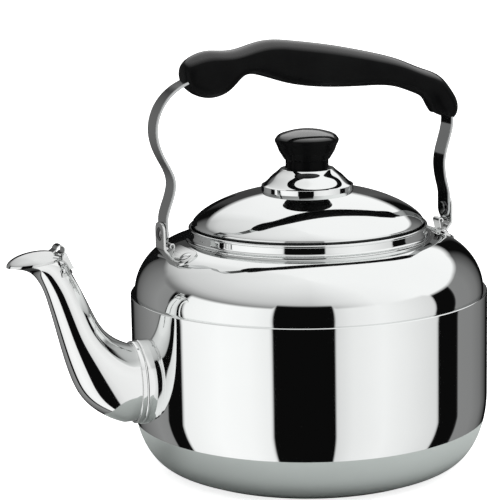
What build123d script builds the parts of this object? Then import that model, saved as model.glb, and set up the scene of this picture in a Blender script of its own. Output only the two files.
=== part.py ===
from build123d import *
from math import cos, hypot, pi, sin, sqrt
import os

# Stovetop whistling kettle, in millimetres.
# The origin is the centre of the base underside, +Z is up and the spout points along -X.
# The handle lies in the XZ plane when it stands upright.

# Vessel
sheet = 0.8                     # thickness of the pressed steel shells
body_radius = 110.0             # outside of the lower shell
seam_height = 109.0             # top of the lower shell's turned-in rim
base_cap_height = 2.0
base_cap_radius = 85.2
base_flat_radius = 85.7         # where the rounded bottom meets the flat base
corner_height = 45.0            # height at which the wall becomes straight
rim_round = 0.7
dome_radius = 107.6             # outside of the shoulder dome at the seam
dome_height = 33.4
skirt_depth = 7.5               # the dome's skirt below the seam
skirt_clearance = 0.05

# Neck and lid
neck_radius = 72.2
neck_foot_radius = 75.4
neck_foot_sheet = 0.5
neck_fillet = 2.2
neck_top = 148.9
neck_bead = 0.9                 # section radius of the rolled bead
neck_bead_offset = 0.35
lid_radius = 71.0
lid_base = 151.65               # height where the lid's crown springs from its hem
lid_crown = 21.6
lid_round = 0.9                 # exponents of the crown's section
lid_rise = 1.45
lid_hem = 0.5                   # section radius of the hem
lid_skirt_radius = 70.1
lid_skirt_depth = 10.0
thin_sheet = 0.6

# Knob and the cap under it
cap_radius = 28.2
cap_band_height = 175.4
cap_top_radius = 16.4
cap_top = 184.4
cap_seat = 181.5
stem_radius = 13.2
stem_clearance = 0.15
knob_radius = 19.7
knob_neck = 190.2
knob_edge = 201.3
knob_top = 208.5
screw_radius = 2.0
screw_head_radius = 4.0
screw_head_height = 2.4
screw_end = 191.0
insert_radius = 4.2
insert_top = 194.0
washer_radius = 6.5
washer_thickness = 1.0

# Spout. Each section has its centre (x, z), its half height and its half width.
# Every section is at least a little taller than wide.
spout_sheet = 0.9
spout_sections = [
    (-106.0, 62.4, 24.6, 18.2),
    (-118.5, 63.3, 24.5, 18.4),
    (-129.8, 68.6, 22.4, 17.8),
    (-141.0, 80.3, 17.8, 15.8),
    (-148.6, 94.0, 13.5, 13.2),
    (-154.0, 108.4, 11.6, 11.5),
    (-158.6, 121.0, 10.4, 10.3),
]
# The lip's sections are given by their front and back points (x, z) and their half width.
lip_sections = [
    ((-172.6, 128.6), (-153.8, 134.6), 9.8),
    ((-179.0, 136.3), (-156.2, 139.4), 10.6),
    ((-191.6, 139.9), (-159.8, 143.4), 11.4),
]
spout_height = 62.8
wall_hole_half_height = 17.0
wall_hole_half_width = 12.5
collar_bead = 1.4               # how far the collar's two beads stand off the spout
collar_fine_bead = 0.7
collar_bead_end = 114.6         # distance of each bead's outer face from the vessel's axis
collar_fine_end = 117.6

# Handle lugs and bail
pivot_height = 151.8
pivot_radius = 2.45
pivot_clearance = 0.05
strap_offset = 94.9             # mid-thickness of both straps at their pivots
strap_width = 14.0
strap_thickness = 1.6
strap_straight_top = 159.5
strap_end = 144.8
lug_gap = 0.3
tab_sheet = 1.6
lug_plate_length = 43.0
lug_plate_width = 13.0
lug_plate_centre = 86.5
lug_plate_sheet = 1.2
lug_rivet_spacing = 29.0
lug_rivet_line = 86.5
lug_rivet_radius = 1.6
lug_rivet_head = 3.6
tongue_width = 8.0
tongue_sheet = 1.0
tongue_curl = 1.3
tongue_foot = (-91.2, 136.6)
tongue_top = (-89.6, 144.0)
crank_bend = 143.0              # height at which the tab bends inwards to the plate
crank_foot = (-91.8, 136.9)
crank_radius = 3.0
rivet_head_radius = 4.2
rivet_head_height = 1.5
rivet_tail_radius = 3.8
rivet_tail_height = 1.1

# Centre lines of the straps above their straight ends, from the pivot up into the grip
front_strap_line = [
    (-92.6, 169.0), (-89.4, 183.0), (-96.0, 198.5), (-99.9, 215.0),
    (-93.9, 231.0), (-80.0, 241.3), (-63.0, 245.6),
]
rear_strap_line = [
    (93.1, 169.0), (91.7, 183.0), (95.6, 198.5), (97.2, 209.0), (91.0, 223.5), (76.0, 232.0),
]

# Grip. Each section has its centre (x, z), its half height and its half width.
grip_sections = [
    (-80.6, 244.8, 3.4, 5.0),
    (-79.6, 244.9, 6.8, 7.8),
    (-77.4, 245.1, 9.3, 9.3),
    (-73.5, 245.4, 11.7, 10.3),
    (-65.0, 245.2, 14.1, 11.0),
    (-56.0, 246.6, 13.2, 11.0),
    (-44.6, 251.0, 8.7, 10.6),
    (-32.0, 253.1, 10.0, 10.8),
    (-12.0, 250.1, 12.8, 11.2),
    (14.0, 246.0, 12.9, 11.2),
    (40.5, 242.7, 10.6, 11.0),
    (62.0, 238.7, 8.4, 10.8),
    (75.5, 233.6, 8.0, 10.6),
    (85.3, 228.9, 8.6, 10.6),
    (91.2, 221.4, 9.2, 10.4),
    (94.4, 216.0, 9.0, 10.0),
    (94.4, 212.8, 8.3, 9.3),
    (93.8, 211.0, 7.0, 8.0),
    (93.5, 210.3, 4.8, 6.0),
]
grip_screw_radius = 1.75
grip_screw_head = 3.4
grip_screw_head_height = 2.0
grip_screw_reach = 5.0
grip_screw_position = 0.94      # along the strap's centre line

# Whistle flap and its hinge
flap_sheet = 0.7
flap_half_length = 16.8
flap_half_width = 12.1
flap_height = 6.4
flap_seat_gap = 0.25
hinge_x = -158.6
hinge_z = 145.4
hinge_pin_radius = 0.75
hinge_clearance = 0.05
knuckle_radius = 1.5
knuckle_half_width = 4.1
ear_gap = 0.3
ear_sheet = 0.8
ear_radius = 1.7
scroll_centre = (-160.7, 148.6)
scroll_radius = 2.55
scroll_riser_foot = (-166.6, 146.6)
saddle_sheet = 0.8
saddle_rivet_radius = 0.9
saddle_rivet_head = 1.5
whistle_hole_radius = 1.6
whistle_cup_radius = 6.8
whistle_cup_height = 3.0


def turned(edges):
    """A solid of revolution about Z, from a closed outline drawn as (radius, height)."""
    return revolve(make_face([Plane.XZ * edge for edge in edges]), Axis.Z)


def ring(inner, outer, low, high):
    """A plain tube about Z."""
    tube = Pos(0, 0, low) * extrude(Circle(outer), high - low)
    return tube - Pos(0, 0, low) * extrude(Circle(inner), high - low)


def along_y(edges, half_width):
    """A flat outline (x, z) given half_width of thickness on both sides of the XZ plane."""
    return extrude(make_face([Plane.XZ * edge for edge in edges]), half_width, both=True)


def strip(line, thickness, half_width):
    """Bent strip metal: a centre line in (x, z) with its thickness, and its width along Y."""
    flat = trace(line, thickness)
    return extrude(Plane.XZ * flat, half_width, both=True)


# ---------------------------------------------------------------- vessel


def lower_shell():
    inner = body_radius - sheet
    lip = dome_radius + skirt_clearance
    corner = (base_flat_radius, corner_height)
    outer_corner = EllipticalCenterArc(
        corner, body_radius - base_flat_radius, corner_height - base_cap_height, 270, arc_size=90)
    inner_corner = EllipticalCenterArc(
        corner, inner - base_flat_radius, corner_height - base_cap_height - sheet, 270,
        arc_size=90)
    top = seam_height
    shell = turned([
        Line((0, base_cap_height), (base_flat_radius, base_cap_height)),
        outer_corner,
        Line((body_radius, corner_height), (body_radius, top - rim_round)),
        CenterArc((body_radius - rim_round, top - rim_round), rim_round, 0, 90),
        Polyline((body_radius - rim_round, top), (lip, top), (lip, top - sheet),
                 (inner, top - sheet), (inner, corner_height)),
        inner_corner,
        Polyline((base_flat_radius, base_cap_height + sheet), (0, base_cap_height + sheet),
                 (0, base_cap_height)),
    ])
    hole = Plane((-body_radius - 10, 0, spout_height), x_dir=(0, 1, 0), z_dir=(1, 0, 0))
    return shell - extrude(hole * Ellipse(wall_hole_half_width, wall_hole_half_height), 20)


def base_parts():
    """The heat-spreading core and the steel cap that is bonded over it."""
    cap_sheet = thin_sheet
    rim = base_cap_radius - base_cap_height
    cap = turned([
        Line((0, 0), (rim, 0)),
        CenterArc((rim, base_cap_height), base_cap_height, 270, 90),
        Line((base_cap_radius, base_cap_height), (base_cap_radius - cap_sheet, base_cap_height)),
        CenterArc((rim, base_cap_height), base_cap_height - cap_sheet, 270, 90),
        Polyline((rim, cap_sheet), (0, cap_sheet), (0, 0)),
    ])
    core = turned([Polyline(
        (0, cap_sheet), (rim, cap_sheet), (rim, base_cap_height), (0, base_cap_height),
        (0, cap_sheet))])
    return cap, core


def dome_solid(growth):
    """Everything under the shoulder dome's outer surface, grown by a thickness."""
    crown = neck_radius - sheet
    return turned([
        Line((0, seam_height), (dome_radius + growth, seam_height)),
        EllipticalCenterArc((crown, seam_height), dome_radius + growth - crown,
                            dome_height + growth, arc_size=90),
        Line((crown, seam_height + dome_height + growth), (0, seam_height + dome_height + growth)),
        Line((0, seam_height + dome_height + growth), (0, seam_height)),
    ])


def shoulder_dome():
    crown = neck_radius - sheet
    skirt = body_radius - sheet - skirt_clearance
    outer = dome_radius
    step = 2.0
    bend = seam_height - 1.4
    dome = turned([
        EllipticalCenterArc((crown, seam_height), outer - crown, dome_height, arc_size=90),
        Line((crown, seam_height + dome_height), (crown, seam_height + dome_height - sheet)),
        EllipticalCenterArc((crown, seam_height), outer - sheet - crown, dome_height - sheet,
                            arc_size=90),
        Polyline((outer - sheet, seam_height), (outer - sheet, bend - sheet / 2),
                 (skirt - sheet, bend - step - sheet / 2), (skirt - sheet, seam_height - skirt_depth),
                 (skirt, seam_height - skirt_depth), (skirt, bend - step), (outer, bend),
                 (outer, seam_height)),
    ])
    return pierced(dome, lug_rivet_places(-1) + lug_rivet_places(1), lug_rivet_radius)


def neck_ring():
    inner = neck_radius - sheet
    foot = seam_height + dome_height + neck_foot_sheet
    band = turned([
        Polyline((inner, foot - 2), (neck_foot_radius, foot - 2), (neck_foot_radius, foot),
                 (neck_radius + neck_fillet, foot)),
        CenterArc((neck_radius + neck_fillet, foot + neck_fillet), neck_fillet, 180, 90),
        Polyline((neck_radius, foot + neck_fillet), (neck_radius, neck_top), (inner, neck_top),
                 (inner, foot - 2)),
    ])
    bead = Pos(0, 0, neck_top) * Torus(neck_radius + neck_bead_offset, neck_bead)
    return band + bead - dome_solid(0)


# ---------------------------------------------------------------- spout


def pierced(shape, places, radius):
    """The shape with a rivet or screw hole at every place."""
    for place in places:
        shape -= place * extrude(Circle(radius), 6, both=True)
    return shape


def spout_planes():
    """The plane, half height and half width of every section of the spout."""
    centres = [Vector(x, 0, z) for x, z, _, _ in spout_sections]
    front, back, _ = lip_sections[0]
    centres.append(Vector((front[0] + back[0]) / 2, 0, (front[1] + back[1]) / 2))
    rows = []
    for index, (_, _, high, wide) in enumerate(spout_sections):
        tangent = centres[index + 1] - centres[max(index - 1, 0)]
        rows.append((Plane(centres[index], x_dir=(0, 1, 0), z_dir=tangent), high, wide))
    for front, back, wide in lip_sections:
        middle = Vector((front[0] + back[0]) / 2, 0, (front[1] + back[1]) / 2)
        across = Vector(back[0] - front[0], 0, back[1] - front[1])
        normal = Vector(-across.Z, 0, across.X)
        rows.append((Plane(middle, x_dir=(0, 1, 0), z_dir=normal), across.length / 2, wide))
    return rows


def spout_solid(growth):
    """The spout's outer form as a filled solid, grown by a thickness."""
    return loft([
        plane * Ellipse(wide + growth, high + growth) for plane, high, wide in spout_planes()])


def vessel_cylinder():
    return extrude(Circle(body_radius), seam_height)


def spout():
    tube = spout_solid(0) - spout_solid(-spout_sheet) - vessel_cylinder()
    return pierced(tube, saddle_rivet_places(), saddle_rivet_radius)


def spout_collar():
    """A beaded ring that covers the joint between the spout and the wall."""
    _, _, high, wide = spout_sections[1]
    root = Plane((-body_radius + 6, 0, spout_height), x_dir=(0, 1, 0), z_dir=(-1, 0, 0))

    def bead(stand_off, end, rounding):
        length = end - body_radius + 6
        block = extrude(root * Ellipse(wide + stand_off, high + stand_off), length)
        return fillet(block.faces().sort_by(Axis.X)[0].edges(), rounding)

    beads = bead(collar_bead, collar_bead_end, 1.2) + bead(collar_fine_bead, collar_fine_end, 0.5)
    return beads - spout_solid(0) - vessel_cylinder()


# ---------------------------------------------------------------- handle lugs


def rivet(radius, length, head_radius, head_height, tail_radius, tail_height):
    """A rivet along Z: shank from 0 to length, a domed head below and a flat tail above."""
    head_round = (head_radius ** 2 + head_height ** 2) / (2 * head_height)
    cap = Pos(0, 0, head_round - head_height) * Sphere(head_round)
    head = cap & (Pos(0, 0, -head_height / 2) * Box(3 * head_radius, 3 * head_radius, head_height))
    shank = extrude(Circle(radius), length)
    tail = Pos(0, 0, length) * extrude(Circle(tail_radius), tail_height)
    return head + shank + fillet(tail.edges().group_by(Axis.Z)[-1], tail_height * 0.45)


def front_lug():
    """Base plate, outer tab and inner curled tongue of the lug on the spout side."""
    plan = Pos(-lug_plate_centre, 0, seam_height) * RectangleRounded(
        lug_plate_width, lug_plate_length, lug_plate_width * 0.48)
    plate = (dome_solid(lug_plate_sheet) - dome_solid(0)) & extrude(plan, 2 * dome_height)
    tab_face = strap_offset + strap_thickness / 2 + lug_gap
    tab_plane = Plane((-tab_face, 0, 0), x_dir=(0, 1, 0), z_dir=(-1, 0, 0))
    tab_middle = -tab_face - tab_sheet / 2
    crank_line = FilletPolyline((tab_middle, pivot_height), (tab_middle, crank_bend), crank_foot,
                                radius=crank_radius)
    tab = strip(crank_line, tab_sheet, strap_width / 2)
    tab += extrude(Plane.YZ.offset(-tab_face - tab_sheet) * Pos(0, pivot_height)
                   * Circle(strap_width / 2), tab_sheet)
    slope = Line(tongue_foot, tongue_top)
    curl = JernArc(tongue_top, slope % 1, tongue_curl, 250)
    tongue = strip(slope + curl, tongue_sheet, tongue_width / 2)
    lug = plate + (tab + tongue - dome_solid(0))
    lug -= extrude(tab_plane * (Pos(0, -pivot_height) * Circle(pivot_radius)), tab_sheet)
    return pierced(lug, lug_rivet_places(-1), lug_rivet_radius)


def lug_rivet_places(side):
    """Where one lug's rivets meet the dome, with local Z along the outward normal."""
    crown = neck_radius - sheet
    places = []
    for y in (-lug_rivet_spacing / 2, lug_rivet_spacing / 2):
        radius = hypot(lug_rivet_line, y)
        run = (radius - crown) / (dome_radius - crown)
        rise = sqrt(1 - run ** 2)
        out = run / (dome_radius - crown) / radius
        normal = (side * lug_rivet_line * out, y * out, rise / dome_height)
        point = (side * lug_rivet_line, y, seam_height + dome_height * rise)
        places.append(Plane(point, z_dir=normal).location)
    return places


def lug_rivets():
    """Four rivets that hold both lugs to the dome, with their heads outside."""
    one = rivet(lug_rivet_radius, sheet + lug_plate_sheet + 0.12, lug_rivet_head, 1.1,
                lug_rivet_head - 0.8, 0.9)
    places = lug_rivet_places(-1) + lug_rivet_places(1)
    return Compound([place * Pos(0, 0, lug_plate_sheet) * Rot(180, 0, 0) * one for place in places])


def pivot_rivet(side):
    tab_outside = strap_offset + strap_thickness / 2 + lug_gap + tab_sheet
    tail_start = strap_offset - strap_thickness / 2 - lug_gap
    one = rivet(pivot_radius, tab_outside - tail_start, rivet_head_radius, rivet_head_height,
                rivet_tail_radius, rivet_tail_height)
    axis = Plane((side * tab_outside, 0, pivot_height), x_dir=(0, 1, 0), z_dir=(-side, 0, 0))
    return axis.location * one


# ---------------------------------------------------------------- bail


def strap_curve(side, line):
    """The strap's centre line above its straight lower end."""
    start = (side * strap_offset, strap_straight_top)
    return Spline(start, *line, tangents=[(0, 1), Vector(line[-1]) - Vector(line[-2])])


def strap(side, line):
    """A bent flat strap with a round end and a hole at its pivot."""
    foot = Line((side * strap_offset, strap_end), (side * strap_offset, strap_straight_top))
    bar = strip(foot, strap_thickness, strap_width / 2)
    bar += strip(strap_curve(side, line), strap_thickness, strap_width / 2)
    rise = 120.0
    outline = Pos(0, pivot_height + rise / 2) * Rectangle(strap_width, rise)
    outline += Pos(0, pivot_height) * Circle(strap_width / 2)
    bar &= extrude(Plane.YZ * outline, 150, both=True)
    hole = Pos(0, pivot_height) * Circle(pivot_radius + pivot_clearance)
    return bar - extrude(Plane.YZ * hole, 150, both=True)


def grip_solid():
    centres = [Vector(x, 0, z) for x, z, _, _ in grip_sections]
    last = len(centres) - 1
    faces = []
    for index, (_, _, high, wide) in enumerate(grip_sections):
        tangent = centres[min(index + 1, last)] - centres[max(index - 1, 0)]
        section = Plane(centres[index], x_dir=(0, 1, 0), z_dir=tangent)
        arcs = [EllipticalCenterArc((0, 0), wide, high, 90 * quarter) for quarter in range(4)]
        faces.append(section * make_face(arcs))
    return loft(faces)


def grip_screw_place(side, line):
    """The screw's place on a strap inside the grip, with local Z pointing up into the grip."""
    curve = strap_curve(side, line)
    point = curve @ grip_screw_position
    along = curve % grip_screw_position
    normal = (side * along.Y, 0, -side * along.X)
    return Plane((point.X, 0, point.Y), x_dir=(0, 1, 0), z_dir=normal).location


def grip_screw():
    seat = -strap_thickness / 2 - 0.1
    head = Pos(0, 0, seat - grip_screw_head_height) * extrude(
        Circle(grip_screw_head - 0.1), grip_screw_head_height)
    shank = Pos(0, 0, seat) * extrude(Circle(grip_screw_radius), grip_screw_reach)
    slot = Pos(0, 0, seat - grip_screw_head_height) * Box(3 * grip_screw_head, 1.0, 1.6)
    return head + shank - slot


# ---------------------------------------------------------------- lid


def lid_curve(radius, crown):
    """The lid's section as a smooth line from the hem up to the axis."""
    steps = 14
    points = []
    for step in range(steps + 1):
        angle = pi / 2 * step / steps
        points.append((radius * cos(angle) ** lid_round if step < steps else 0.0,
                       lid_base + crown * sin(angle) ** lid_rise))
    return Spline(*points)


def lid_solid(inset):
    """Everything under the lid's surface, set in by a thickness."""
    radius = lid_radius - inset
    crown = lid_crown - inset
    return turned([
        lid_curve(radius, crown),
        Polyline((0, lid_base + crown), (0, lid_base), (radius, lid_base)),
    ])


def lid_height(radius, inset):
    """Height of the lid's surface at a radius; an inset of one sheet gives its underside."""
    angle_cos = (radius / (lid_radius - inset)) ** (1 / lid_round)
    return lid_base + (lid_crown - inset) * (1 - angle_cos ** 2) ** (lid_rise / 2)


def lid_shell():
    """The domed lid with a rolled hem round its edge."""
    inner = lid_radius - sheet
    hole = screw_radius + 0.2
    shell = turned([
        lid_curve(lid_radius, lid_crown),
        Line((0, lid_base + lid_crown), (0, lid_base + lid_crown - sheet)),
        lid_curve(inner, lid_crown - sheet),
        Line((inner, lid_base), (inner, lid_base - 0.4)),
        ThreePointArc((inner, lid_base - 0.4), (lid_radius - 0.3, lid_base - 0.4 - lid_hem),
                      (lid_radius, lid_base)),
    ])
    return shell - extrude(Circle(hole), 200)


def lid_skirt():
    top = lid_base + 6
    tube = ring(lid_skirt_radius - thin_sheet, lid_skirt_radius, lid_base - lid_skirt_depth, top)
    under = ring(0.1, lid_radius, lid_base, top) - lid_solid(sheet)
    return tube - under


def knob_cap():
    """The spun steel cap between the lid and the knob, with a seat for the knob's stem."""
    low = lid_height(cap_radius - sheet, 0)
    flat = sheet
    seat = stem_radius + stem_clearance
    outer_flare = Spline((cap_radius - 0.5, cap_band_height), (21.3, 180.5),
                         (cap_top_radius + 0.4, cap_top - 0.4), tangents=[(-1, 0.9), (-1, 1.1)])
    inner_flare = Spline((cap_radius - 1.3, cap_band_height - 0.6), (20.6, 179.8),
                         (cap_top_radius - 0.3, cap_top - 1.2), tangents=[(-1, 0.9), (-1, 1.1)])
    return turned([
        Line((cap_radius, low), (cap_radius, cap_band_height - 0.5)),
        CenterArc((cap_radius - 0.5, cap_band_height - 0.5), 0.5, 0, 90),
        outer_flare,
        ThreePointArc((cap_top_radius + 0.4, cap_top - 0.4), (cap_top_radius - 0.4, cap_top),
                      (seat, cap_top - 0.6)),
        Polyline((seat, cap_top - 0.6), (seat, cap_seat), (screw_radius + 0.2, cap_seat),
                 (screw_radius + 0.2, cap_seat - flat), (seat + flat, cap_seat - flat),
                 (cap_top_radius - 0.3, cap_top - 1.2)),
        inner_flare,
        Polyline((cap_radius - 1.3, cap_band_height - 0.6), (cap_radius - flat, cap_band_height - 1.1),
                 (cap_radius - flat, low), (cap_radius, low)),
    ])


def knob():
    side = Spline((stem_radius + 0.9, knob_neck), (17.2, 195.0), (18.6, 198.6),
                  (knob_radius, knob_edge), tangents=[(1, 0.7), (0.25, 1)])
    crown = Spline((knob_radius, knob_edge), (17.4, 204.8), (9.6, 207.7), (0, knob_top),
                   tangents=[(0.05, 1), (-1, 0)])
    body = turned([
        Polyline((0, cap_seat), (stem_radius, cap_seat), (stem_radius, knob_neck - 0.3),
                 (stem_radius + 0.9, knob_neck)),
        side,
        crown,
        Line((0, knob_top), (0, cap_seat)),
    ])
    return body - Pos(0, 0, cap_seat) * extrude(Circle(insert_radius), insert_top - cap_seat)


def knob_insert():
    return ring(screw_radius, insert_radius, cap_seat, insert_top)


def knob_fixing():
    """The washer under the lid and the screw that runs up into the knob's insert."""
    washer_top = lid_height(washer_radius, sheet) - 0.02
    washer = ring(screw_radius + 0.2, washer_radius, washer_top - washer_thickness, washer_top)
    head_top = washer_top - washer_thickness
    shank = Pos(0, 0, head_top) * extrude(Circle(screw_radius), screw_end - head_top)
    head = Pos(0, 0, head_top - screw_head_height) * extrude(
        Circle(screw_head_radius), screw_head_height)
    head = fillet(head.edges().group_by(Axis.Z)[0], 1.0)
    slot = Box(1.0, 5.0, 2.4)
    cross = Pos(0, 0, head_top - screw_head_height) * (slot + Rot(0, 0, 90) * slot)
    return washer, shank + (head - cross)


# ---------------------------------------------------------------- whistle flap


def mouth_plane():
    """The plane of the spout's mouth, with local x towards the hinge and z upwards."""
    front, back, _ = lip_sections[-1]
    across = Vector(back[0] - front[0], 0, back[1] - front[1])
    middle = Vector((front[0] + back[0]) / 2, 0, (front[1] + back[1]) / 2)
    return Plane(middle, x_dir=across, z_dir=(-across.Z, 0, across.X))


def hinge_bar(radius, half_width):
    axis = Plane((hinge_x, 0, hinge_z), x_dir=(1, 0, 0), z_dir=(0, 1, 0))
    return extrude(axis * Circle(radius), half_width, both=True)


def whistle_flap():
    """The domed flap with its thumb scroll and hinge knuckle."""
    seat = mouth_plane().offset(flap_seat_gap).location

    def half_egg(inset):
        egg = scale(Sphere(1), by=(flap_half_length - inset, flap_half_width - inset,
                                   flap_height - inset))
        return egg & (Pos(0, 0, flap_height) * Box(60, 60, 2 * flap_height))

    flap = seat * (half_egg(0) - half_egg(flap_sheet))
    cut = hinge_bar(ear_radius + 1.0, 30) - hinge_bar(30, knuckle_half_width)
    flap -= cut
    riser_top = (scroll_centre[0] - scroll_radius, scroll_centre[1] + 0.3)
    riser = strip(Line(scroll_riser_foot, riser_top), flap_sheet, knuckle_half_width)
    curl = CenterArc(scroll_centre, scroll_radius, 175, -310)
    scroll = strip(curl, flap_sheet, knuckle_half_width)
    web = strip(Line((hinge_x - 3.6, hinge_z + 0.6), (hinge_x, hinge_z + 0.3)), 1.2,
                knuckle_half_width)
    flap += riser + scroll + web + hinge_bar(knuckle_radius, knuckle_half_width)
    flap -= seat * half_egg(flap_sheet)
    flap -= hinge_bar(hinge_pin_radius + hinge_clearance, 2 * knuckle_half_width)
    return flap - seat * extrude(Circle(whistle_hole_radius), 2 * flap_height)


def whistle_parts():
    """The plate that closes the flap and the small cup above it; their holes line up."""
    seat = mouth_plane().offset(flap_seat_gap + 0.1)
    inset = flap_sheet + 0.6
    plate = extrude(Ellipse(flap_half_length - inset - 2.2, flap_half_width - inset), 0.5)
    cup = extrude(Circle(whistle_cup_radius), whistle_cup_height)
    cup -= extrude(Circle(whistle_cup_radius - 0.5), whistle_cup_height - 0.5)
    hole = extrude(Circle(whistle_hole_radius), 10)
    lift = Pos(-1.2, 0, 0)
    place = seat.location
    return place * lift * (plate - hole), place * lift * Pos(0, 0, 0.5) * (cup - hole)


def ears():
    inner = knuckle_half_width + ear_gap
    post = along_y([Polyline(
        (hinge_x - ear_radius, hinge_z), (hinge_x + ear_radius, hinge_z),
        (hinge_x + 5.6, hinge_z - 8.4), (hinge_x - 1.0, hinge_z - 8.4),
        (hinge_x - ear_radius, hinge_z))], inner + ear_sheet)
    post += hinge_bar(ear_radius, inner + ear_sheet)
    return post - Box(2000, 2 * inner, 2000)


def flap_saddle():
    """A saddle wrapped round the back of the spout, with two ears that carry the hinge pin."""
    wrap = along_y([Polyline(
        (hinge_x - 5.2, 150), (hinge_x + 9, 150), (hinge_x + 11, 135.6), (hinge_x - 3.4, 133.4),
        (hinge_x - 5.2, 150))], 20)
    saddle = (spout_solid(saddle_sheet) & wrap) + (ears() & Pos(0, 0, 200) * Box(2000, 60, 133))
    saddle -= spout_solid(0)
    saddle -= hinge_bar(hinge_pin_radius, 20)
    return pierced(saddle, saddle_rivet_places(), saddle_rivet_radius)


def saddle_rivet_places():
    """Where the saddle's rivets meet the spout, with local Z pointing outwards."""
    return [Plane((-161.2, y, 137.0), z_dir=(0.42, y / 9.6, 0.1)).location for y in (-9.6, 9.6)]


def saddle_rivets():
    one = rivet(saddle_rivet_radius, saddle_sheet + spout_sheet + 0.8, saddle_rivet_head, 0.7,
                saddle_rivet_head - 0.2, 0.5)
    return Compound([place * Pos(0, 0, 0.9) * Rot(180, 0, 0) * one
                     for place in saddle_rivet_places()])


def flap_pin():
    inner = knuckle_half_width + ear_gap + ear_sheet
    pin = hinge_bar(hinge_pin_radius, inner)
    heads = hinge_bar(hinge_pin_radius + 0.5, inner + 0.6) - hinge_bar(10, inner)
    return pin + heads


os.makedirs("parts", exist_ok=True)


def write(name, shape):
    export_step(shape, f"parts/{name}.step")


cap_part, core_part = base_parts()
write("lower_shell", lower_shell())
write("base_cap", cap_part)
write("base_core", core_part)
write("shoulder_dome", shoulder_dome())
write("neck_ring", neck_ring())
write("spout", spout())
write("spout_collar", spout_collar())

front = front_lug()
write("front_lug", front)
write("rear_lug", mirror(front, about=Plane.YZ))
write("lug_rivets", lug_rivets())
write("front_pivot_rivet", pivot_rivet(-1))
write("rear_pivot_rivet", pivot_rivet(1))

front_bar = strap(-1, front_strap_line)
rear_bar = strap(1, rear_strap_line)
screw_places = [grip_screw_place(-1, front_strap_line), grip_screw_place(1, rear_strap_line)]
grip = grip_solid() - front_bar - rear_bar
for place in screw_places:
    grip -= place * extrude(Circle(grip_screw_head), -40)
    grip -= place * extrude(Circle(grip_screw_radius), grip_screw_reach)
front_bar = pierced(front_bar, screw_places[:1], grip_screw_radius)
rear_bar = pierced(rear_bar, screw_places[1:], grip_screw_radius)
write("grip", grip)
write("front_strap", front_bar)
write("rear_strap", rear_bar)
write("grip_screws", Compound([place * grip_screw() for place in screw_places]))

washer_part, screw_part = knob_fixing()
write("lid_shell", lid_shell())
write("lid_skirt", lid_skirt())
write("knob_cap", knob_cap())
write("knob", knob())
write("knob_insert", knob_insert())
write("knob_screw", screw_part)
write("knob_washer", washer_part)

plate_part, cup_part = whistle_parts()
write("whistle_flap", whistle_flap())
write("whistle_plate", plate_part)
write("whistle_cup", cup_part)
write("flap_saddle", flap_saddle())
write("saddle_rivets", saddle_rivets())
write("flap_pin", flap_pin())
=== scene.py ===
from math import atan2, cos, degrees, hypot, pi, radians, sin, sqrt

import bmesh
import bpy
import numpy as np
from mathutils import Matrix, Vector


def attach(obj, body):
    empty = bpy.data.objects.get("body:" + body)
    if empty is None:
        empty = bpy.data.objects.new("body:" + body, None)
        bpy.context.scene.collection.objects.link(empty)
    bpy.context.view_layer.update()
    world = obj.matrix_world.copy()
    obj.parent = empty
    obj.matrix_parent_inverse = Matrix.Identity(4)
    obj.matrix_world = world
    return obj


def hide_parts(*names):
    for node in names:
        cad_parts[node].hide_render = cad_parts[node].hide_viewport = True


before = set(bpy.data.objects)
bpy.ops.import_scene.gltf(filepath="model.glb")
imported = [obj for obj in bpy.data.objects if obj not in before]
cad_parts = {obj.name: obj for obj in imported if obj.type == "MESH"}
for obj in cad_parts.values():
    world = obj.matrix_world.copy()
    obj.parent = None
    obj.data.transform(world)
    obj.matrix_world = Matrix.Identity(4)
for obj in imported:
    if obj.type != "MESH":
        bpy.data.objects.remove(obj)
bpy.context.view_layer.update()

# All shapes below are in millimetres in the part's own frame: +Z up, the spout points along -X.
MM = 0.001

# ---------------------------------------------------------------- dimensions

SHEET = 0.8
SPOUT_SHEET = 0.9
BODY_R = 110.0
CORNER_R = 85.7
CORNER_Z = 45
SEAM_Z = 109.0
DOME_R = 107.6
DOME_H = 33.4
CROWN_R = 71.4
NECK_R = 72.2
FOOT_R = 75.4
NECK_TOP = 148.9
LID_R = 71.0
SKIRT_R = 70.1
LID_Z = 151.65
LID_H = 21.6
LID_FLARE = 0.9
LID_RISE = 1.45
CAP_R = 28.2
PIVOT_Z = 151.8
STRAP_X = 94.9
STRAP_SHEET = 1.6
STRAP_HALF = 7.0
PIVOT_GAP = 0.3
LUG_X = 86.5
LUG_RIVET_Y = 14.5


# ---------------------------------------------------------------- curves


def arc(cx, cz, rx, rz, start, end, count=16):
    """Points on an elliptical arc, angles in degrees."""
    angles = np.radians(np.linspace(start, end, count))
    return [(cx + rx * cos(a), cz + rz * sin(a)) for a in angles]


def line(a, b, count=2):
    return [tuple(p) for p in np.linspace(np.array(a, float), np.array(b, float), count)]


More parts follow.
